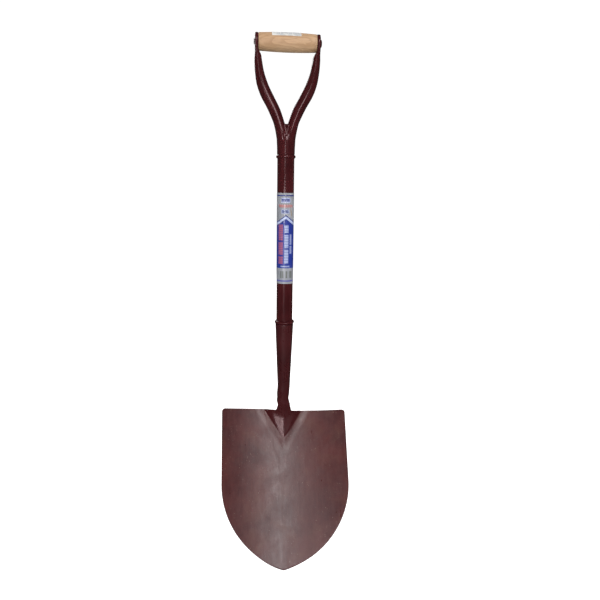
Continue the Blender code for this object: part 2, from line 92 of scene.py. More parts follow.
NECK_RISE = 26.92 * MM                 # front of the neck above the sheet, one fillet up
NECK_FALL = 0.98                       # how steeply the neck sinks into the frog
NECK_FLANK = 0.65                      # steepness of the neck's sides where it runs out
NECK_FILLET = 3.5 * MM
TRIM = 0.15                            # how much of the frog's rise the top edge gives back
NECK_HALF_W = 12.4 * MM
NECK_R = 12.4 * MM
MOUTH_R = 17.7 * MM
NECK_TOP_Z = 54.0 * MM
SEAM_END_Z = 48.0 * MM
SEAM_GAP = 1.0 * MM
OPEN_HALF = 17.0 * MM                  # half width of the opened-out socket along its sheet
OPEN_RUN = 22.0 * MM                   # height over which its section flattens
RIDGE_R = 0.8 * MM                     # rounding of the roof's ridge
ROOF_FADE = 1.5                        # how the roof sinks towards the wedge's point
NECK_BLEND = 9.0 * MM                  # width of the valley round the neck's foot
SIDE_BLEND = 2.0 * MM                  # rounding where the roof meets the sides
SHADE_FADE = 3.0 * MM                   # fade of the painted shade across the wedge's foot

# how this one sample strays from the symmetric CAD shape
SHOULDER_SLANT = 4.2 * MM              # its top edge drops towards the right by twice this
TIP_SHIFT = -6.5 * MM                  # its point lies a little to the left
TIP_DROP = 1.3 * MM
NECK_SWAY = -2.0 * MM                  # its neck bows to the left
HANDLE_LEAN = 1.1 * MM                 # and its handle leans right by this much at the pin
LEAN_FROM = 560.0 * MM
SLANT_REACH = 60.0 * MM                # spread of the top edge's drop to each side
SLANT_RAMP = 4.0 * MM                  # how soon it sets in beside the neck
TIP_REACH = 42.0 * MM                  # how far up the outline the point's shift is felt
BOW_RISE = 12.0 * MM                   # the neck's bow grows over this height,
BOW_TOP = 22.0 * MM                    # starts to fade here
BOW_FADE = 34.0 * MM                   # and is gone this much higher

# one arm of the yoke: height, centre offset, half width, half depth, squareness (mm)
ARM_STATIONS = (
    (510.0, 3.6, 11.2, 12.6, 2.0),
    (528.0, 5.2, 11.8, 15.0, 2.0),
    (542.0, 8.0, 11.2, 15.2, 2.0),
    (556.0, 12.3, 10.2, 14.2, 2.0),
    (563.0, 14.7, 10.4, 13.6, 2.0),
    (584.0, 23.7, 11.5, 12.0, 2.0),
    (605.0, 35.3, 11.8, 10.8, 2.0),
    (625.0, 44.1, 10.4, 10.4, 2.0),
    (646.0, 49.7, 8.4, 11.0, 2.1),
    (666.0, 52.4, 6.9, 12.6, 2.6),
    (674.0, 52.9, 5.8, 13.4, 3.5),
    (679.5, 54.5, 3.9, 14.1, 4.5),
    (683.0, 55.4, 3.0, 14.4, 5.2),
    (696.5, 55.4, 3.0, 15.1, 6.0),
)
# the stem, which narrows to a web between the arms: height, half width, half depth (mm)
STEM_STATIONS = (
    (502.6, 16.4, 16.4),
    (514.0, 16.5, 16.4),
    (528.0, 17.1, 16.0),
    (538.0, 16.6, 14.8),
    (546.0, 11.5, 13.0),
    (553.0, 6.5, 9.5),
    (557.0, 3.0, 5.0),
)


# ------------------------------------------------------------------ small helpers
def smooth_step(t):
    t = min(max(t, 0.0), 1.0)
    return t * t * (3.0 - 2.0 * t)


def lumps(point, size, seed):
    """Smooth signed noise, about -1 to 1, with bumps of the given size in metres."""
    return noise.noise(Vector(point) / size + Vector((seed, seed * 1.7, -seed)))


def mesh_object(name, verts, faces):
    """A smooth-shaded mesh object from points and faces, in the tool frame."""
    mesh = bpy.data.meshes.new(name)
    mesh.from_pydata([tuple(v) for v in verts], [], faces)
    obj = bpy.data.objects.new(name, mesh)
    bpy.context.scene.collection.objects.link(obj)
    shade(obj)
    return obj


def shade(obj, smooth_below=radians(40)):
    """Smooth shading, with a crease wherever two faces meet at more than the given angle."""
    obj.data.shade_smooth()
    obj.data.set_sharp_from_angle(angle=smooth_below)


def apply_modifiers(obj):
    """Replace the mesh with what its modifiers make of it."""
    bpy.context.view_layer.update()
    depsgraph = bpy.context.evaluated_depsgraph_get()
    made = bpy.data.meshes.new_from_object(obj.evaluated_get(depsgraph), depsgraph=depsgraph)
    obj.modifiers.clear()
    old = obj.data
    obj.data = made
    made.name = obj.name
    bpy.data.meshes.remove(old)


def displace(obj, offset):
    """Move each vertex along its normal by offset(position)."""
    mesh = obj.data
    moves = [v.normal * offset(v.co) for v in mesh.vertices]
    for vertex, move in zip(mesh.vertices, moves):
        vertex.co += move
    mesh.update()


def ring_faces(rows, columns):
    """Quads between successive closed rings of points."""
    faces = []
    for k in range(rows - 1):
        for i in range(columns):
            j = (i + 1) % columns
            low = k * columns
            faces.append((low + i, low + j, low + columns + j, low + columns + i))
    return faces


def loft(name, rings):
    """Skin rings of points, lowest first and anticlockwise from above, and close both ends."""
    count = len(rings[0])
    verts = [point for ring in rings for point in ring]
    faces = ring_faces(len(rings), count)
    faces.append(tuple(reversed(range(count))))
    faces.append(tuple(range((len(rings) - 1) * count, len(rings) * count)))
    return mesh_object(name, verts, faces)


def turned(name, profile, steps, wobble):
    """Revolve an open (radius, height) profile, lowest point first, about the shaft axis.

    wobble(angle, height) is added to the radius.
    """
    rings = []
    for radius, z in profile:
        ring = []
        for i in range(steps):
            angle = 2 * pi * i / steps
            r = radius + wobble(angle, z)
            ring.append((r * cos(angle), r * sin(angle), z))
        rings.append(ring)
    return loft(name, rings)


def lie_along_x(obj):
    """Turn a piece made about Z so that its top points to +X, on the grip's axis."""
    turn = Matrix.Rotation(radians(90), 4, "Y")
    obj.data.transform(Matrix.Translation((0.0, 0.0, PIN_Z)) @ turn)


def arc_profile(r0, z0, reach, rise, first, last, steps):
    """Points of an elliptic arc about (r0, z0), from one angle in degrees to another."""
    points = []
    for k in range(steps + 1):
        a = radians(first + (last - first) * k / steps)
        points.append((r0 + reach * cos(a), z0 + rise * sin(a)))
    return points


def show(obj, material, node):
    """Shift a finished piece to its place, paint it, and let it stand for its CAD node."""
    for vertex in obj.data.vertices:
        share = max((vertex.co.z - LEAN_FROM) / (PIN_Z - LEAN_FROM), 0.0)
        vertex.co.x += HANDLE_LEAN * share
    obj.data.transform(Matrix.Translation(TOOL))
    obj.data.materials.clear()
    obj.data.materials.append(material)
    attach(obj, "root")
    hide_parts(node)


def through(stations, z, column):
    """Read one column of a station list at height z along a smooth curve through its rows."""
    last = len(stations) - 1
    k = max(i for i in range(last) if stations[i][0] <= z or i == 0)

    def slope(i):
        a = stations[max(i - 1, 0)]
        b = stations[min(i + 1, last)]
        return (b[column] - a[column]) / (b[0] - a[0])

    low, high = stations[k], stations[k + 1]
    span = high[0] - low[0]
    t = min(max((z - low[0]) / span, 0.0), 1.0)
    rise = high[column] - low[column]
    m0 = slope(k) * span
    m1 = slope(k + 1) * span
    return low[column] + t * m0 + t * t * (3 * rise - 2 * m0 - m1) + t ** 3 * (m0 + m1 - 2 * rise)


# ------------------------------------------------------------------ the pressed sheet
def soft_max(a, b, width):
    """The larger of two heights, with a round valley where they meet."""
    near = max(width - abs(a - b), 0.0)
    return max(a, b) + near * near / (4 * width)


def soft_min(a, b, width):
    """The smaller of two heights, with a round crest where they meet."""
    return -soft_max(-a, -b, width)


def neck_side(u):
    """How far the round front of the neck has fallen away, u to the side of its crest."""
    bend = NECK_FLANK * NECK_R
    return NECK_FLANK * (sqrt(u * u + bend * bend) - bend)


def beyond_frog(b, u):
    """Distance across the sheet from the wedge's foot, negative inside the wedge."""
    return sqrt(u * u + FROG_APEX_R ** 2) - FROG_HALF_W * (1.0 - b / FROG_LENGTH)


def frog_height(b, u):
    """How far the frog stands in front of the dished sheet, b below the shoulder, u from centre.

    The sheet swells gently towards a wedge with steeper sides and a low ridged roof, into which
    the round neck sinks.
    """
    outside = beyond_frog(b, u)
    foot = SKIRT_SLOPE * SKIRT_W / 2
    if outside > 0:
        return foot * max(1.0 - outside / SKIRT_W, 0.0) ** 2
    ridge = sqrt(u * u + RIDGE_R ** 2)
    roof = foot + FACET_TOP * max(1.0 - b / FROG_LENGTH, 0.0) ** ROOF_FADE - FACET_SLOPE * ridge
    neck = NECK_RISE - NECK_FALL * (b + NECK_FILLET) - neck_side(u)
    side = foot - FROG_WALL * outside
    return soft_min(soft_max(neck, roof, NECK_BLEND), side, SIDE_BLEND)


TIP_B = SIDE_LENGTH + sqrt(SIDE_ARC_R ** 2 - (SIDE_ARC_R - BLADE_HALF_W) ** 2)
TIP_ANGLE = acos((SIDE_ARC_R - BLADE_HALF_W) / SIDE_ARC_R)
LIFT_RATE = (LIFT_TIP - LIFT_TOP) / TIP_B
SHOULDER_Y = NECK_RISE * cos(LIFT_TOP) - NECK_FILLET * sin(LIFT_TOP) - NECK_R


def blade_point(b, u):
    """A point on the hollow face, b along the blade from the shoulder and u across it."""
    lift = LIFT_TOP + LIFT_RATE * max(b, 0.0)
    if b <= 0.0:
        y = SHOULDER_Y - b * sin(LIFT_TOP)
        z = -b * cos(LIFT_TOP)
    else:
        y = SHOULDER_Y - (cos(LIFT_TOP) - cos(lift)) / LIFT_RATE
        z = -(sin(lift) - sin(LIFT_TOP)) / LIFT_RATE
    dish = DISH_R - sqrt(DISH_R ** 2 - u * u)
    front = dish + frog_height(b, u)
    return Vector((u, y - front * cos(lift), z + front * sin(lift)))


def shoulder_edge(u):
    """Where the sheet's top edge lies at u: up the neck, along the tread, round the corner.

    The edge is trimmed nearly level, so it dips a little where the frog stands forward.
    """
    reach = abs(u)
    if reach <= NECK_HALF_W:
        return -NECK_FILLET
    slant = SHOULDER_SLANT * (1.0 + tanh(u / SLANT_REACH)) + TRIM * frog_height(0.0, u)
    slant *= smooth_step((reach - NECK_HALF_W) / SLANT_RAMP)
    corner = reach - (BLADE_HALF_W - CORNER_R)
    if corner > 0:
        return slant + CORNER_R - sqrt(max(CORNER_R ** 2 - corner ** 2, 0.0))
    beside_neck = max(NECK_FILLET - (reach - NECK_HALF_W), 0.0)
    return slant + sqrt(max(NECK_FILLET ** 2 - beside_neck ** 2, 0.0)) - NECK_FILLET


def bottom_edge(t):
    """The blade's lower outline as (b, u), from side (-1) to side (1) with the point at 0."""
    turn = TIP_ANGLE * (1.0 - abs(t))
    b = SIDE_LENGTH + SIDE_ARC_R * sin(turn)
    u = BLADE_HALF_W - SIDE_ARC_R * (1 - cos(turn))
    near_tip = exp(-((u / TIP_REACH) ** 2))
    return b + TIP_DROP * near_tip, (-u if t < 0 else u) + TIP_SHIFT * near_tip


NECK_ROW_Z = blade_point(-NECK_FILLET, 0.0).z


def socket_radius(z):
    cone = (z - NECK_TOP_Z) / (MOUTH_Z - NECK_TOP_Z)
    return NECK_R + (MOUTH_R - NECK_R) * min(max(cone, 0.0), 1.0)


def tongue_point(z, share):
    """A point on the rolled socket, at crest height z and a share of the way round to its edge."""
    radius = socket_radius(z)
    closed = pi * radius - SEAM_GAP / 2
    parted = 1.0 - smooth_step((z - NECK_ROW_Z) / (SEAM_END_Z - NECK_ROW_Z))
    half = closed + (OPEN_HALF - closed) * parted
    turn = share * half / radius
    x = radius * sin(turn)
    depth = radius * (1 - cos(turn))
    flat = 1.0 - smooth_step((z - NECK_ROW_Z) / OPEN_RUN)
    x += (share * NECK_HALF_W - x) * flat
    depth += (neck_side(share * NECK_HALF_W) - depth) * flat
    tilt = LIFT_TOP * parted
    bow = smooth_step((z - NECK_ROW_Z) / BOW_RISE) * (1.0 - smooth_step((z - BOW_TOP) / BOW_FADE))
    return Vector((x + NECK_SWAY * bow, -radius + depth * cos(tilt), z - depth * sin(tilt)))


def spread(start, end, count):
    """Evenly spaced values from just past start up to end."""
    return [start + (end - start) * (i + 1) / count for i in range(count)]


def pressed_sheet(neck_cols, foot_cols, wing_cols, frog_rows, blade_rows, cone_rows, open_rows):
    """The whole sheet as verts, faces and each vert's share of painted shade, a darker colour."""
    foot = FROG_HALF_W + SKIRT_W
    flat_end = BLADE_HALF_W - CORNER_R
    right = spread(0.0, NECK_HALF_W, neck_cols) + spread(NECK_HALF_W, foot, foot_cols)
    right += spread(foot, flat_end, wing_cols)
    right += [flat_end + CORNER_R * sin(radians(a)) for a in (15, 30, 45, 60, 75, 90)]
    columns = [-u for u in reversed(right)] + [0.0] + right
    heights = [MOUTH_Z] + spread(MOUTH_Z, NECK_TOP_Z, cone_rows)
    heights += spread(NECK_TOP_Z, NECK_ROW_Z, open_rows)[:-1]
    frog_share = (FROG_LENGTH + SKIRT_W) / TIP_B
    shares = [0.0] + spread(0.0, frog_share, frog_rows) + spread(frog_share, 1.0, blade_rows)
    width = 2 * neck_cols + 1
    verts = []
    for z in heights:
        verts += [tongue_point(z, i / neck_cols - 1.0) for i in range(width)]
    # share of painted shade: full on the rolled socket and along the bottom row, fading out round the
    # wedge
    coat = [1.0] * len(verts)
    blade_start = len(verts)
    for s in shares:
        for u in columns:
            b0 = shoulder_edge(u)
            b1, u1 = bottom_edge(u / BLADE_HALF_W)
            b = b0 + (b1 - b0) * s
            across = u + (u1 - u) * s
            verts.append(blade_point(b, across))
            on_frog = smooth_step(0.6 - beyond_frog(b, across) / SHADE_FADE)
            # the bottom row is fully darkened, as painted shade along the rim
            coat.append(1.0 if s == shares[-1] else on_frog)
    faces = []
    neck_start = blade_start + len(right) - neck_cols
    for k in range(len(heights)):
        top = k * width
        below = top + width if k + 1 < len(heights) else neck_start
        for i in range(width - 1):
            faces.append((top + i, below + i, below + i + 1, top + i + 1))
    width = len(columns)
    for k in range(len(shares) - 1):
        top = blade_start + k * width
        for i in range(width - 1):
            faces.append((top + i, top + width + i, top + width + i + 1, top + i + 1))
    return verts, faces, coat


def make_blade():
    """The pressed sheet with its rolled socket: slight dents, then thickness and rounded edges."""
    verts, faces, coat = pressed_sheet(
        neck_cols=18, foot_cols=40, wing_cols=28,
        frog_rows=64, blade_rows=66, cone_rows=44, open_rows=24,
    )
    blade = mesh_object("blade_sheet", verts, faces)
    # painted shade: the per-vertex share by which blade_coat darkens neck, frog and bottom rim
    painted_shade = blade.data.attributes.new("painted_shade", "FLOAT", "POINT")
    painted_shade.data.foreach_set("value", coat)

    dent, pucker = 0.22 * MM, 0.06 * MM
    stretch = 0.6

    def dents(point):
        on_blade = smooth_step((NECK_TOP_Z - point.z) / NECK_TOP_Z)
        long_point = (point.x, point.y, point.z * stretch)
        slow = dent * lumps(long_point, 55 * MM, 3.0)
        fine = pucker * lumps(point, 9 * MM, 8.0)
        return (slow + fine) * on_blade

    displace(blade, dents)
    thickness = blade.modifiers.new("Thickness", "SOLIDIFY")
    thickness.thickness = SHEET
    thickness.offset = -1.0
    thickness.use_even_offset = True
    apply_modifiers(blade)
    rim = blade.modifiers.new("Rim", "BEVEL")
    rim.width = 0.55 * MM
    rim.segments = 2
    rim.limit_method = "ANGLE"
    rim.angle_limit = radians(60)
    apply_modifiers(blade)
    shade(blade, radians(50))
    return blade


def make_seam_weld():
    """Rippled weld bead that closes the rolled socket down its back."""
    half_w = (SEAM_HIGH.x - SEAM_LOW.x) / 2
    proud = 1.3 * MM
    top = SEAM_HIGH.z - TOOL.z
    bottom = SEAM_LOW.z - TOOL.z
    pitch = 2.6 * MM
    sunk = 0.3 * MM
    arc_steps = 12
    rows = int((top - bottom) / (pitch / 6))
    rings = []
    for k in range(rows + 1):
        z = bottom + (top - bottom) * k / rows
        end = min(z - bottom, top - z) / (4 * MM)
        taper = 0.35 + 0.65 * sqrt(min(end, 1.0))
        wander = 0.35 * MM * lumps((0, 0, z), 11 * MM, 2.0)
        swell = 1.0 + 0.16 * lumps((0, 0, z), 7 * MM, 5.0)
        ring = []
        for i in range(arc_steps + 1):
            a = pi * i / arc_steps
            phase = 2 * pi * (z / pitch + 0.35 * sin(a) ** 2)
            height = proud * (0.86 + 0.14 * sin(phase)) * swell
            x = wander + half_w * 0.92 * swell * taper * cos(a)
            ring.append((x, socket_radius(z) - sunk + (height + sunk) * taper * sin(a), z))
        rings.append(ring)
    return loft("socket_seam_bead", rings)


# ------------------------------------------------------------------ shaft and collars
def make_shaft():
    """Drawn tube, seen between the two weld collars, with its swaged ends out of sight inside."""
    low = MOUTH_Z - 3 * MM
    high = YOKE_BOTTOM_Z + 3 * MM
    rows = 90
    profile = [(TUBE_R, low + (high - low) * k / rows) for k in range(rows + 1)]

    def drawn(angle, z):
        point = (TUBE_R * cos(angle), TUBE_R * sin(angle), z * 0.3)
        return 0.05 * MM * lumps(point, 30 * MM, 1.0)

    return turned("shaft", profile, 96, drawn)


def make_collar(name, low, high, seed):
    """Weld ring laid round a joint: a round bead whose height and edges wander."""
    centre_z = (low.z + high.z) / 2 - TOOL.z
    half_h = (high.z - low.z) / 2
    outer = (high.x - low.x) / 2
    inner = TUBE_R - 0.4 * MM
    steps = 160
    rows = 20
    start, sweep = -88, 176
    ripples = 34
    rings = []
    for k in range(rows + 1):
        a = radians(start + sweep * k / rows)
        ring = []
        for i in range(steps):
            turn = 2 * pi * i / steps
            around = (outer * cos(turn), outer * sin(turn), 0.0)
            ripple = 0.12 * MM * sin(turn * ripples + 1.5 * lumps(around, 9 * MM, seed))
            bulge = (outer - inner) * (1.0 + 0.12 * lumps(around, 8 * MM, seed + 2)) + ripple
            sway = 0.45 * MM * lumps(around, 12 * MM, seed + 5)
            r = inner + bulge * cos(a)
            ring.append((r * cos(turn), r * sin(turn), centre_z + sway + half_h * 0.94 * sin(a)))
        rings.append(ring)
    return loft(name, rings)


# ------------------------------------------------------------------ yoke
RING_POINTS = 64


def oval(centre_x, half_w, half_d, z, power=2.0):
    """A level superellipse ring; power 2 is an ellipse and larger powers are squarer."""
    ring = []
    for i in range(RING_POINTS):
        angle = 2 * pi * (i + 0.5) / RING_POINTS
        c, s = cos(angle), sin(angle)
        x = abs(c) ** (2 / power) * (1 if c > 0 else -1)
        y = abs(s) ** (2 / power) * (1 if s > 0 else -1)
        ring.append((centre_x + half_w * x, half_d * y, z))
    return ring


def arm_ring(side, height):
    """The section of one arm at a height in mm."""
    centre, half_w, half_d, power = (through(ARM_STATIONS, height, c) for c in (1, 2, 3, 4))
    return oval(side * centre * MM, half_w * MM, half_d * MM, height * MM, power)


def make_arm(name, side):
    """One half of the split tube: bowed round the hand and flattened to a round-topped ear."""
    low = ARM_STATIONS[0][0]
    pin = PIN_Z / MM
    ear_x, half_w, ear_r = (value * MM for value in ARM_STATIONS[-1][1:4])
    squareness = ARM_STATIONS[-1][4]
    rows, cap_rows, cap_end = 110, 17, 86.0
    rings = [arm_ring(side, low + (pin - low) * k / rows) for k in range(rows + 1)]
    for k in range(1, cap_rows + 1):
        a = radians(cap_end * k / cap_rows)
        z = PIN_Z + ear_r * sin(a)
        rings.append(oval(side * ear_x, half_w, ear_r * cos(a), z, squareness))
    return loft(name, rings)


def make_yoke():
    """Stem, arms and ears run together into one skin, so that the fork is a soft web of metal."""
    rows = 50
    low, high = STEM_STATIONS[0][0], STEM_STATIONS[-1][0]
    rings = []
    for k in range(rows + 1):
        h = low + (high - low) * k / rows
        half_w, half_d = (through(STEM_STATIONS, h, column) * MM for column in (1, 2))
        rings.append(oval(0.0, half_w, half_d, h * MM))
    yoke = loft("handle_yoke", rings)
    bm = bmesh.new()
    bm.from_mesh(yoke.data)
    for name, side in (("arm_left", -1), ("arm_right", 1)):
        arm = make_arm(name, side)
        bm.from_mesh(arm.data)
        mesh = arm.data
        bpy.data.objects.remove(arm)
        bpy.data.meshes.remove(mesh)
    bm.to_mesh(yoke.data)
    bm.free()
    skin = yoke.modifiers.new("Skin", "REMESH")
    skin.mode = "VOXEL"
    skin.voxel_size = 0.8 * MM
    skin.use_smooth_shade = True
    apply_modifiers(yoke)
    soften = yoke.modifiers.new("Soften", "SMOOTH")
    soften.factor = 0.5
    soften.iterations = 6
    apply_modifiers(yoke)
    displace(yoke, lambda p: 0.08 * MM * lumps(p, 16 * MM, 4.0) + 0.12 * MM)
    shade(yoke, radians(60))
    return yoke


def blob(bm, centre, size):
    """One egg-shaped drop of weld metal."""
    place = Matrix.Translation(centre) @ Matrix.Diagonal((*size, 1.0))
    bmesh.ops.create_icosphere(bm, subdivisions=4, radius=1.0, matrix=place)


def make_crotch_weld(name, side):
    """Lumpy V of weld in the fork, on the front (side -1) or the back (side 1)."""
    low_z = LUMP_LOW.z - TOOL.z
    high_z = LUMP_HIGH.z - TOOL.z
    span = high_z - low_z
    half_w = (LUMP_HIGH.x - LUMP_LOW.x) / 2
    bm = bmesh.new()
    drops = 9
    proud, recede = 14.6, 2.1
    for k in range(drops):
        t = k / (drops - 1)
        z = low_z + span * (0.12 + 0.78 * t)
        spread_x = half_w * 0.75 * t
        y = side * (proud - recede * t) * MM
        for way in (-1, 1):
            wander = lumps((way, side, z), 5 * MM, 7.0)
            size = (2.5 + 0.5 * wander, 1.55 + 0.3 * wander, 2.2)
            centre = Vector((way * spread_x + 0.4 * MM * wander, y, z))
            blob(bm, centre, tuple(s * MM for s in size))
    mesh = bpy.data.meshes.new(name)
    bm.to_mesh(mesh)
    bm.free()
    weld = bpy.data.objects.new(name, mesh)
    bpy.context.scene.collection.objects.link(weld)
    skin = weld.modifiers.new("Skin", "REMESH")
    skin.mode = "VOXEL"
    skin.voxel_size = 0.4 * MM
    soften = weld.modifiers.new("Soften", "SMOOTH")
    soften.iterations = 3
    apply_modifiers(weld)
    shade(weld, radians(60))
    return weld


# ------------------------------------------------------------------ grip, rivet, labels
GRIP_END_R = GRIP_MID_R - 1.6 * MM


def grip_radius(x):
    """Barrel radius at x from the middle."""
    return GRIP_MID_R - (GRIP_MID_R - GRIP_END_R) * (x / GRIP_HALF) ** 2


def make_grip():
    """Turned ash barrel with eased ends, lathe-true to within a few hundredths."""
    ease = 1.0 * MM
    end_r = grip_radius(GRIP_HALF)
    rows = 100
    straight = GRIP_HALF - ease
    profile = [(4.0 * MM, -GRIP_HALF)] + arc_profile(end_r - ease, -straight, ease, ease, -90, 0, 6)
    profile += [(grip_radius(x), x) for x in (straight * (2 * k / rows - 1) for k in range(1, rows))]
    profile += arc_profile(end_r - ease, straight, ease, ease, 0, 90, 6) + [(4.0 * MM, GRIP_HALF)]

    def turned_by_hand(angle, z):
        return 0.05 * MM * lumps((GRIP_END_R * cos(angle), GRIP_END_R * sin(angle), z), 14 * MM, 6.0)

    grip = turned("wood_grip", profile, 128, turned_by_hand)
    lie_along_x(grip)
    return grip


def make_rivet():
    """Through rivet: a round head on the right ear and a hammered peen on the left one."""
    head_r = (RIVET_HIGH.z - RIVET_LOW.z) / 2
    head_h = RIVET_HIGH.x - EAR_OUT
    peen_h = -RIVET_LOW.x - EAR_OUT
    peen_r = 5.4 * MM
    rod_r = 4.0 * MM
    edge = 0.7 * MM
    profile = arc_profile(0.0, -EAR_OUT - peen_h * 0.35, peen_r, peen_h * 0.65, -86, 0, 10)
    profile += [(peen_r, -EAR_OUT), (rod_r, -EAR_OUT), (rod_r, EAR_OUT), (head_r - edge * 0.4, EAR_OUT)]
    profile += arc_profile(0.0, EAR_OUT + edge, head_r, head_h - edge, 0, 87, 14)

    def hammered(angle, z):
        if abs(z) < EAR_OUT:
            return 0.0
        amount = 0.35 * MM if z < 0 else 0.12 * MM
        return amount * lumps((5 * MM * cos(angle), 5 * MM * sin(angle), z), 4 * MM, 9.0)

    rivet = turned("through_rivet", profile, 64, hammered)
    lie_along_x(rivet)
    return rivet


def curved_sheet(name, rows, start, end, columns, thickness):
    """Sheet bent about Z, one row per (radius, height), over the angles from start to end."""
    verts = []
    for radius_at, z in rows:
        for i in range(columns + 1):
            angle = start + (end - start) * i / columns
            r = radius_at(angle)
            verts.append((r * cos(angle), r * sin(angle), z))
    width = columns + 1
    faces = [
        (k * width + i, (k + 1) * width + i, (k + 1) * width + i + 1, k * width + i + 1)
        for k in range(len(rows) - 1)
        for i in range(columns)
    ]
    sheet = mesh_object(name, verts, faces)
    film = sheet.modifiers.new("Film", "SOLIDIFY")
    film.thickness = thickness
    film.offset = -1.0
    apply_modifiers(sheet)
    shade(sheet, radians(50))
    return sheet


def make_shaft_label():
    """Printed film wrapped round the shaft, its outer end lapped over the inner one at the back."""
    film = 0.18 * MM
    top = LABEL_HIGH.z - TOOL.z
    bottom = LABEL_LOW.z - TOOL.z
    seam = radians(90)
    lap = radians(12)
    rows = 60

    def row(z):
        edge = exp(-min(z - bottom, top - z) / (1.2 * MM))

        def radius_at(angle):
            over = smooth_step((angle - seam - radians(360)) / lap + 0.35)
            crinkle = lumps((14 * MM * cos(angle), 14 * MM * sin(angle), z), 10 * MM, 12.0)
            lift = 0.05 * MM * crinkle + 0.10 * MM * edge * max(crinkle + 0.3, 0.0)
            return TUBE_R + film + 0.04 * MM + film * over + lift

        return radius_at, z

    stations = [row(top + (bottom - top) * k / rows) for k in range(rows + 1)]
    return curved_sheet("label_film", stations, seam, seam + 2 * pi + lap, 150, film)


def make_grip_sticker():
    """Paper sticker over the top of the grip, one corner a little lifted."""
    paper = 0.14 * MM
    x0, x1 = STICKER_LOW.x, STICKER_HIGH.x
    half_angle = asin((STICKER_HIGH.y - STICKER_LOW.y) / 2 / (GRIP_MID_R + 0.6 * MM))
    rows = 40

    def row(x):
        def radius_at(angle):
            from_corner = abs(angle - (pi - half_angle)) * GRIP_MID_R + abs(x - x1)
            curl = 0.35 * MM * exp(-from_corner / (4 * MM))
            wave = 0.03 * MM * lumps((x, angle * GRIP_MID_R, 0.0), 9 * MM, 15.0)
            return grip_radius(x) + paper + 0.07 * MM + curl + wave

        return radius_at, x

    stations = [row(x1 + (x0 - x1) * k / rows) for k in range(rows + 1)]
    sticker = curved_sheet("grip_sticker", stations, pi - half_angle, pi + half_angle, 60, paper)
    lie_along_x(sticker)
    return sticker


# ------------------------------------------------------------------ materials
class Nodes:
    """Short calls for building one material's node tree."""

    def __init__(self, name):
        self.material = bpy.data.materials.new(name)
        self.material.use_nodes = True
        self.tree = self.material.node_tree
        self.shader = self.tree.nodes["Principled BSDF"]
        self.place = self.add("ShaderNodeTexCoord").outputs["Object"]

    def add(self, kind, **settings):
        node = self.tree.nodes.new(kind)
        for key, value in settings.items():
            setattr(node, key, value)
        return node

    def join(self, value, socket):
        """Feed a socket from another one, or set it to a plain value."""
        if isinstance(value, bpy.types.NodeSocket):
            self.tree.links.new(value, socket)
        else:
            socket.default_value = value

    def math(self, operation, a, b=0.0, c=0.0):
        node = self.add("ShaderNodeMath", operation=operation)
        for value, socket in zip((a, b, c), node.inputs):
            self.join(value, socket)
        return node.outputs[0]

    def moved(self, scale=(1, 1, 1), turn=(0, 0, 0), centre=(0, 0, 0)):
        """Coordinates about a centre, turned and then stretched."""
        shift = self.add("ShaderNodeVectorMath", operation="SUBTRACT")
        self.join(self.place, shift.inputs[0])
        shift.inputs[1].default_value = centre
        mapping = self.add("ShaderNodeMapping")
        self.join(shift.outputs[0], mapping.inputs["Vector"])
        mapping.inputs["Rotation"].default_value = turn
        mapping.inputs["Scale"].default_value = scale
        return mapping.outputs[0]

    def noise(self, scale, detail=3.0, rough=0.55, vector=None, distortion=0.0):
        """Fractal noise, 0 to 1 about 0.5, with `scale` bumps to the metre."""
        node = self.add("ShaderNodeTexNoise")
        self.join(vector or self.place, node.inputs["Vector"])
        node.inputs["Scale"].default_value = scale
        node.inputs["Detail"].default_value = detail
        node.inputs["Roughness"].default_value = rough
        node.inputs["Distortion"].default_value = distortion
        return node.outputs["Fac"]

    def cells(self, scale):
        """Distance to the nearest of scattered points, about `scale` to the metre."""
        node = self.add("ShaderNodeTexVoronoi", feature="F1")
        self.join(self.place, node.inputs["Vector"])
        node.inputs["Scale"].default_value = scale
        return node.outputs["Distance"]

    def mix(self, share, a, b):
        """Colour a, with a share of colour b laid over it."""
        node = self.add("ShaderNodeMix", data_type="RGBA")
        self.join(share, node.inputs[0])
        for value, socket in ((a, node.inputs[6]), (b, node.inputs[7])):
            self.join((*value, 1.0) if isinstance(value, tuple) else value, socket)
        return node.outputs[2]

    def span(self, value, low, high, to_low=0.0, to_high=1.0):
        """Map low..high to to_low..to_high, clamped."""
        node = self.add("ShaderNodeMapRange")
        for item, socket in zip((value, low, high, to_low, to_high), node.inputs):
            self.join(item, socket)
        return node.outputs[0]

    def bump(self, height, depth, under=None):
        """Surface relief: a 0 to 1 height times a depth in metres, over another bump."""
        node = self.add("ShaderNodeBump")
        self.join(height, node.inputs["Height"])
        node.inputs["Strength"].default_value = 1.0
        node.inputs["Distance"].default_value = depth
        if under is not None:
            self.join(under, node.inputs["Normal"])
        return node.outputs[0]

    def separate(self, vector):
        node = self.add("ShaderNodeSeparateXYZ")
        self.join(vector, node.inputs[0])
        return node.outputs

    def finish(self, **inputs):
        for name, value in inputs.items():
            self.join(value, self.shader.inputs[name.replace("_", " ")])
        return self.material


OXBLOOD = (0.051, 0.0072, 0.0088)
OXBLOOD_DARK = (0.033, 0.0042, 0.0052)
OXBLOOD_LIGHT = (0.080, 0.014, 0.016)
DUST = (0.16, 0.12, 0.10)
COAT_SHEEN = (1.0, 0.74, 0.76)
SHEET_DARK = (0.046, 0.0070, 0.0085)
SHEET_LIGHT = (0.086, 0.0165, 0.0160)
SHEET_SHEEN = (1.0, 0.96, 0.96)
DRAW_MARK = (0.108, 0.034, 0.030)
GRIT = (0.112, 0.042, 0.036)
EARTH = (0.108, 0.044, 0.028)
FLECK = (0.26, 0.19, 0.16)


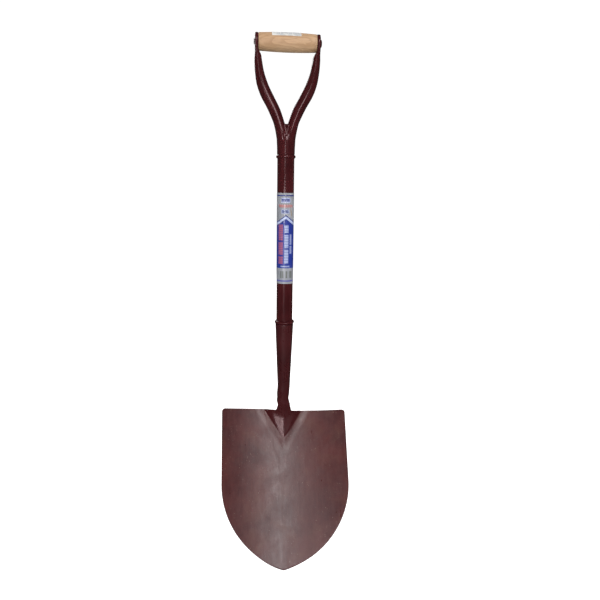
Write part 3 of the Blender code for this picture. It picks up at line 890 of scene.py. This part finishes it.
def coated_steel():
    """Oxblood dip coat over tube and welds: orange peel, small nibs, faint drips."""
    n = Nodes("oxblood_coat")
    cloud = n.noise(22.0, 4.0)
    streak = n.noise(160.0, 3.0, vector=n.moved((1, 1, 0.06)))
    colour = n.mix(n.span(cloud, 0.35, 0.68), OXBLOOD_DARK, OXBLOOD)
    colour = n.mix(n.span(streak, 0.52, 0.75, 0.0, 0.45), colour, OXBLOOD_LIGHT)
    nibs = n.span(n.cells(420.0), 0.04, 0.10, 1.0, 0.0)
    sparse = n.span(n.noise(60.0, 2.0), 0.64, 0.70)
    nibs = n.math("MULTIPLY", nibs, sparse)
    colour = n.mix(n.math("MULTIPLY", nibs, 0.35), colour, DUST)
    rough = n.span(n.noise(70.0, 5.0), 0.3, 0.7, 0.13, 0.20)
    relief = n.bump(n.noise(150.0, 2.0), 0.000015)
    relief = n.bump(nibs, 0.000003, relief)
    return n.finish(
        Base_Color=colour, Roughness=rough, Normal=relief, IOR=1.5,
        Specular_Tint=(*COAT_SHEEN, 1.0),
    )


def blade_coat():
    """The same coat on the pressed blade, mottled, with painted shade in the tube's darker colour on
    neck, frog and rim.
    """
    n = Nodes("blade_coat")
    cloud = n.noise(14.0, 5.0, 0.6)
    patches = n.noise(24.0, 5.0, 0.65, distortion=0.8)
    draw = n.noise(260.0, 4.0, 0.6, vector=n.moved((1, 0.10, 0.10)))
    grit = n.noise(650.0, 3.0, 0.6)
    colour = n.mix(n.span(cloud, 0.35, 0.68), SHEET_DARK, SHEET_LIGHT)
    colour = n.mix(n.span(draw, 0.45, 0.80, 0.0, 0.30), colour, DRAW_MARK)
    colour = n.mix(n.span(grit, 0.50, 0.72, 0.0, 0.30), colour, GRIT)
    earth = n.span(n.noise(30.0, 3.0, 0.6, distortion=0.5), 0.52, 0.72, 0.0, 0.28)
    colour = n.mix(earth, colour, EARTH)
    worn = n.span(n.noise(42.0, 4.0, 0.6), 0.50, 0.66)
    flecks = n.math("MULTIPLY", n.span(n.cells(210.0), 0.10, 0.20, 1.0, 0.0), worn)
    colour = n.mix(n.math("MULTIPLY", flecks, 0.55), colour, FLECK)
    # painted shade: neck, frog and bottom rim take the tube's darker colour
    shade_share = n.add("ShaderNodeAttribute", attribute_name="painted_shade").outputs["Fac"]
    shaded_colour = n.mix(n.span(cloud, 0.35, 0.68), OXBLOOD_DARK, OXBLOOD)
    colour = n.mix(n.math("MULTIPLY", shade_share, 0.92), colour, shaded_colour)
    rough = n.span(patches, 0.30, 0.70, 0.27, 0.40)
    rough = n.math("ADD", rough, n.span(draw, 0.3, 0.7, -0.03, 0.04))
    rough = n.math("SUBTRACT", rough, n.math("MULTIPLY", shade_share, 0.04))
    relief = n.bump(draw, 0.00004)
    relief = n.bump(grit, 0.000012, relief)
    relief = n.bump(n.noise(60.0, 3.0), 0.00014, relief)
    return n.finish(
        Base_Color=colour, Roughness=rough, Normal=relief, IOR=1.5,
        Specular_Tint=n.mix(shade_share, SHEET_SHEEN, COAT_SHEEN),
    )


ASH_DARK = (0.49, 0.285, 0.150)
ASH_LIGHT = (0.60, 0.385, 0.222)
LATE_WOOD = (0.36, 0.190, 0.080)
FIBRE = (0.38, 0.235, 0.125)
PORE = (0.20, 0.115, 0.055)
END_GRAIN = (0.30, 0.19, 0.12)
UNDERSIDE_SHADE = (0.21, 0.145, 0.075)
RINGS_PER_METRE = 560.0


def ash_wood():
    """Turned ash: growth rings cut at a shallow angle into arches, pores along the grain."""
    n = Nodes("ash_wood")
    middle = tuple((GRIP_LOW + GRIP_HIGH) / 2)
    pith = (middle[0], middle[1] + 26 * MM, middle[2] + 3 * MM)
    log = n.moved((1, 1, 1), (0.0, radians(0.8), radians(-2.0)), pith)
    bend = n.noise(60.0, 3.0, 0.5, vector=n.moved((0.30, 1, 1)))
    _, y, z = n.separate(log)
    away = n.math("SQRT", n.math("ADD", n.math("MULTIPLY", y, y), n.math("MULTIPLY", z, z)))
    away = n.math("ADD", away, n.span(bend, 0.2, 0.8, -0.0022, 0.0022))
    ring = n.math("FRACT", n.math("MULTIPLY", away, RINGS_PER_METRE))
    late = n.math("MULTIPLY", n.span(ring, 0.35, 0.92), n.span(ring, 0.93, 1.0, 1.0, 0.0))
    fibre = n.noise(900.0, 4.0, 0.6, vector=n.moved((0.03, 1, 1)))
    pores = n.span(n.noise(1500.0, 2.0, 0.5, vector=n.moved((0.045, 1, 1))), 0.58, 0.68)
    pores = n.math("MULTIPLY", pores, n.span(ring, 0.0, 0.5, 1.0, 0.15))
    tone = n.noise(22.0, 3.0, vector=n.moved((0.4, 1, 1)))
    light = n.mix(n.span(tone, 0.35, 0.65), ASH_DARK, ASH_LIGHT)
    colour = n.mix(n.math("MULTIPLY", late, 0.62), light, LATE_WOOD)
    colour = n.mix(n.span(fibre, 0.40, 0.75, 0.0, 0.30), colour, FIBRE)
    colour = n.mix(n.math("MULTIPLY", pores, 0.45), colour, PORE)
    from_middle = n.separate(n.moved(centre=middle))
    ends = n.span(n.math("ABSOLUTE", from_middle[0]), 0.047, 0.0522)
    colour = n.mix(n.math("MULTIPLY", ends, 0.25), colour, END_GRAIN)
    # painted shade: the grip is darkened towards its underside
    painted_shade_below = n.span(from_middle[2], -0.004, -0.015, 0.0, 0.35)
    colour = n.mix(painted_shade_below, colour, UNDERSIDE_SHADE)
    rough = n.span(fibre, 0.3, 0.7, 0.46, 0.60)
    relief = n.bump(fibre, 0.00006)
    relief = n.bump(n.math("SUBTRACT", 1.0, pores), 0.00010, relief)
    relief = n.bump(late, 0.00005, relief)
    return n.finish(
        Base_Color=colour, Roughness=rough, Normal=relief, Sheen_Weight=0.05,
        Coat_Weight=0.08, Coat_Roughness=0.35,
    )


SILVER = (0.36, 0.37, 0.41)
NAVY = (0.020, 0.030, 0.20)
PANEL_BLUE = (0.014, 0.032, 0.27)
PALE = (0.46, 0.52, 0.74)
CORAL = (0.52, 0.17, 0.16)
PINK = (0.44, 0.12, 0.16)


def printed_film():
    """Silver film printed with plain bars and blocks; nothing on it is lettering."""
    n = Nodes("printed_film")
    height = LABEL_HIGH.z - LABEL_LOW.z
    middle = (0.0, TOOL.y, LABEL_HIGH.z)
    x, y, z = n.separate(n.moved(centre=middle))
    turn = n.math("ARCTAN2", x, n.math("MULTIPLY", y, -1.0))
    across = n.math("MULTIPLY", turn, TUBE_R)
    down = n.math("DIVIDE", z, -height)

    def within(value, low, high):
        return n.math("COMPARE", value, (low + high) / 2, (high - low) / 2)

    def block(left, right, top, bottom):
        """A printed rectangle: mm across from the middle of the front, and shares of the height."""
        return n.math("MULTIPLY", within(across, left * MM, right * MM), within(down, top, bottom))

    def dashes(mask, along, pitch, ink):
        """Cut a block into short dashes with a given share of ink."""
        share = n.math("FRACT", n.math("DIVIDE", along, pitch * MM))
        return n.math("MULTIPLY", mask, n.math("LESS_THAN", share, ink))

    metres_down = n.math("MULTIPLY", z, -1.0)
    brushed = n.noise(700.0, 3.0, vector=n.moved((1, 1, 0.05)))
    cloud = n.noise(35.0, 3.0)
    film = n.mix(n.span(cloud, 0.35, 0.65), SILVER, (0.28, 0.29, 0.32))
    film = n.mix(n.span(brushed, 0.4, 0.8, 0.0, 0.4), film, (0.20, 0.21, 0.24))

    def ink(mask, colour, strength=1.0):
        nonlocal film
        film = n.mix(n.math("MULTIPLY", mask, strength), film, colour)

    wide = 60.0
    aside = n.math("ABSOLUTE", x)
    chevron = n.math("SUBTRACT", down, n.math("MULTIPLY", aside, 0.0047 / MM))
    ink(block(-wide, wide, 0.023, 0.035), NAVY)
    ink(block(-9.0, 8.5, 0.052, 0.104), (0.46, 0.50, 0.72))
    ink(dashes(block(-8.6, 7.6, 0.062, 0.092), across, 2.1, 0.84), NAVY, 0.95)
    ink(dashes(block(-14.5, 14.5, 0.124, 0.156), across, 2.3, 0.72), CORAL, 0.95)
    ink(block(-9.4, 6.6, 0.178, 0.222), (0.40, 0.44, 0.62))
    ink(dashes(block(-8.6, 5.8, 0.184, 0.216), across, 2.6, 0.74), (0.03, 0.05, 0.20), 0.9)
    slant = n.math("ADD", across, n.math("MULTIPLY", down, -0.030))
    stroke = n.math("MULTIPLY", within(slant, 3.6 * MM, 5.8 * MM), within(down, 0.165, 0.25))
    ink(stroke, (0.30, 0.22, 0.13), 0.8)
    in_panel = n.math("LESS_THAN", down, 0.824)
    for start, colour in ((0.236, NAVY), (0.248, PALE), (0.276, NAVY), (0.286, PANEL_BLUE)):
        ink(n.math("MULTIPLY", n.math("GREATER_THAN", chevron, start), in_panel), colour)
    for top, bottom in ((0.341, 0.515), (0.532, 0.672), (0.690, 0.777)):
        ink(dashes(block(-14.6, -5.2, top, bottom), metres_down, 3.4, 0.82), PINK, 0.8)
    for top, bottom in ((0.345, 0.430), (0.450, 0.600), (0.618, 0.772)):
        ink(dashes(block(-2.2, 5.2, top, bottom), metres_down, 3.0, 0.70), PALE, 0.95)
    for top, bottom in ((0.446, 0.560), (0.575, 0.662)):
        ink(dashes(block(7.8, 12.0, top, bottom), metres_down, 2.2, 0.66), PALE, 0.8)
    ink(dashes(block(-10.0, 8.0, 0.796, 0.812), across, 1.9, 0.70), PALE, 0.85)
    bars = n.noise(330.0, 1.0, vector=n.moved((1, 1, 0.0)))
    bars = n.math("MULTIPLY", block(-14.0, 14.0, 0.856, 0.935), n.span(bars, 0.47, 0.53))
    ink(bars, (0.10, 0.11, 0.09), 0.85)
    ink(block(-wide, wide, 0.959, 0.975), (0.07, 0.07, 0.36), 0.9)
    scuff = n.span(n.noise(130.0, 5.0, 0.65), 0.60, 0.72)
    film = n.mix(n.math("MULTIPLY", scuff, 0.35), film, (0.52, 0.52, 0.58))
    rough = n.span(cloud, 0.3, 0.7, 0.30, 0.42)
    relief = n.bump(n.noise(260.0, 3.0), 0.00006)
    relief = n.bump(brushed, 0.00002, relief)
    return n.finish(
        Base_Color=film, Roughness=rough, Normal=relief, Coat_Weight=0.15, Coat_Roughness=0.2
    )


def sticker_paper():
    """White coated paper with rows of faint grey dashes; nothing on it is lettering."""
    n = Nodes("sticker_paper")
    cloud = n.noise(90.0, 4.0, 0.6)
    fibre = n.noise(1400.0, 3.0)
    colour = n.mix(n.span(cloud, 0.42, 0.66), (0.70, 0.69, 0.66), (0.46, 0.48, 0.50))
    colour = n.mix(n.span(fibre, 0.45, 0.75, 0.0, 0.25), colour, (0.60, 0.60, 0.58))
    middle = tuple((STICKER_LOW + STICKER_HIGH) / 2)
    x, y, _ = n.separate(n.moved(centre=middle))
    line = n.math("COMPARE", n.math("FRACT", n.math("DIVIDE", y, 4.6 * MM)), 0.5, 0.22)
    inside = n.math("COMPARE", x, 0.0, 20 * MM)
    dashes = n.span(n.noise(260.0, 2.0, vector=n.moved((1, 0.0, 0.0))), 0.47, 0.50)
    print_mask = n.math("MULTIPLY", n.math("MULTIPLY", line, inside), dashes)
    colour = n.mix(n.math("MULTIPLY", print_mask, 0.45), colour, (0.26, 0.29, 0.36))
    rough = n.span(fibre, 0.3, 0.7, 0.42, 0.58)
    relief = n.bump(fibre, 0.00002)
    return n.finish(Base_Color=colour, Roughness=rough, Normal=relief)


# ------------------------------------------------------------------ the pieces
STEEL = coated_steel()
SOCKET_RING = make_collar("socket_weld_ring", SOCKET_COLLAR_LOW, SOCKET_COLLAR_HIGH, 1.0)
YOKE_RING = make_collar("yoke_weld_ring", YOKE_COLLAR_LOW, YOKE_COLLAR_HIGH, 21.0)
show(make_blade(), blade_coat(), "blade")
show(make_seam_weld(), STEEL, "socket_seam_weld")
show(make_shaft(), STEEL, "shaft_tube")
show(SOCKET_RING, STEEL, "socket_collar")
show(YOKE_RING, STEEL, "yoke_collar")
show(make_yoke(), STEEL, "yoke")
show(make_crotch_weld("fork_weld_front", -1), STEEL, "crotch_weld_front")
show(make_crotch_weld("fork_weld_back", 1), STEEL, "crotch_weld_back")
show(make_grip(), ash_wood(), "grip")
show(make_rivet(), STEEL, "grip_rivet")
show(make_shaft_label(), printed_film(), "shaft_label")
show(make_grip_sticker(), sticker_paper(), "grip_label")


# ------------------------------------------------------------------ floor, light and camera
def make_floor():
    """Large pale floor; it shades softly but isn't mirrored in the glossy coat."""
    reach = 12.0
    floor = mesh_object(
        "floor",
        [(-reach, -reach, 0.0), (reach, -reach, 0.0), (reach, reach, 0.0), (-reach, reach, 0.0)],
        [(0, 1, 2, 3)],
    )
    n = Nodes("pale_floor")
    tint = n.mix(n.noise(3.0, 3.0), (0.72, 0.72, 0.72), (0.76, 0.76, 0.76))
    seen = n.add("ShaderNodeLightPath").outputs["Is Camera Ray"]
    glow = n.math("MULTIPLY", seen, 0.96)
    white = (1, 1, 1, 1)
    floor.data.materials.append(
        n.finish(Base_Color=tint, Roughness=0.8, Emission_Color=white, Emission_Strength=glow)
    )
    floor.visible_glossy = False


def panel_light(name, place, target, width, height, radiance, mirrored=True):
    """Rectangular softbox facing a target, as bright as `radiance` whatever its size."""
    data = bpy.data.lights.new(name, "AREA")
    data.shape = "RECTANGLE"
    data.size = width
    data.size_y = height
    data.energy = radiance * pi * width * height
    light = bpy.data.objects.new(name, data)
    bpy.context.scene.collection.objects.link(light)
    light.location = place
    light.rotation_euler = (Vector(target) - Vector(place)).to_track_quat("-Z", "Y").to_euler()
    light.visible_camera = False
    light.visible_glossy = mirrored


def around(azimuth, distance, height):
    """A place seen from the spade's axis: azimuth in degrees from the front towards the left."""
    a = radians(azimuth)
    return (TOOL.x - distance * sin(a), TOOL.y - distance * cos(a), height)


def make_lights():
    """Far softboxes for the blade's sheen, low near ones for the lines on tube and frog, fills."""
    chest = (0.0, TOOL.y, 0.55)
    blade = (0.0, TOOL.y, 0.15)
    shaft = (0.0, TOOL.y, 0.75)
    frog = (0.0, TOOL.y, 0.25)
    far, high = 6.0, 3.75
    panel_light("blade_softbox", around(-7.0, far, high), blade, 1.50, 2.9, 9.0)
    panel_light("blade_wing", around(-21.0, far, high), blade, 1.9, 2.9, 1.8)
    panel_light("side_sheen", around(38.0, far, high), blade, 2.0, 2.6, 0.15)
    panel_light("strip_softbox", around(13.0, 2.0, 1.00), shaft, 0.11, 0.36, 7.5)
    panel_light("facet_softbox", around(15.0, 2.0, 0.46), frog, 0.44, 0.28, 27.0)
    panel_light("front_fill", around(-12.0, 3.2, 1.2), chest, 2.6, 2.2, 1.45, False)
    panel_light("top_fill", (0.0, -0.2, 3.2), chest, 3.4, 3.4, 1.30, False)
    panel_light("left_fill", around(95.0, 3.0, 1.3), chest, 1.6, 2.2, 0.9, False)
    panel_light("right_fill", around(-95.0, 3.0, 1.3), chest, 1.6, 2.2, 0.9, False)
    panel_light("back_fill", around(170.0, 3.0, 1.5), chest, 2.4, 2.2, 2.3, False)
    panel_light("back_softbox", around(160.0, 2.4, 1.9), chest, 0.7, 1.6, 4.0)


def make_world():
    """White to the camera, dim to everything else, so that the coat's dark edges stay dark."""
    world = bpy.data.worlds.new("studio")
    bpy.context.scene.world = world
    world.use_nodes = True
    tree = world.node_tree
    shown = tree.nodes["Background"]
    shown.inputs["Color"].default_value = (1, 1, 1, 1)
    shown.inputs["Strength"].default_value = 1.05
    dim = tree.nodes.new("ShaderNodeBackground")
    dim.inputs["Color"].default_value = (1.0, 0.99, 0.98, 1)
    dim.inputs["Strength"].default_value = 0.08
    path = tree.nodes.new("ShaderNodeLightPath")
    pick = tree.nodes.new("ShaderNodeMixShader")
    tree.links.new(path.outputs["Is Camera Ray"], pick.inputs[0])
    tree.links.new(dim.outputs[0], pick.inputs[1])
    tree.links.new(shown.outputs[0], pick.inputs[2])
    tree.links.new(pick.outputs[0], tree.nodes["World Output"].inputs[0])


def make_camera():
    """Camera a little left of the spade and near grip height, looking slightly down."""
    place = (-0.07623, -0.99146, 0.70495)
    yaw, down, roll = radians(5.780), radians(11.559), radians(0.875)
    forward = Vector((sin(yaw) * cos(down), cos(yaw) * cos(down), -sin(down)))
    level = forward.cross(Vector((0, 0, 1))).normalized()
    upright = level.cross(forward)
    right = level * cos(roll) + upright * sin(roll)
    up = upright * cos(roll) - level * sin(roll)
    data = bpy.data.cameras.new("camera")
    data.sensor_width = 36.0
    data.lens = 33.10
    data.clip_start = 0.05
    data.clip_end = 60.0
    camera = bpy.data.objects.new("camera", data)
    bpy.context.scene.collection.objects.link(camera)
    turn = Matrix((right, up, -forward)).transposed().to_4x4()
    camera.matrix_world = Matrix.Translation(place) @ turn
    bpy.context.scene.camera = camera


make_floor()
make_lights()
make_world()
make_camera()
bpy.context.scene.view_settings.view_transform = "Standard"
bpy.context.view_layer.update()
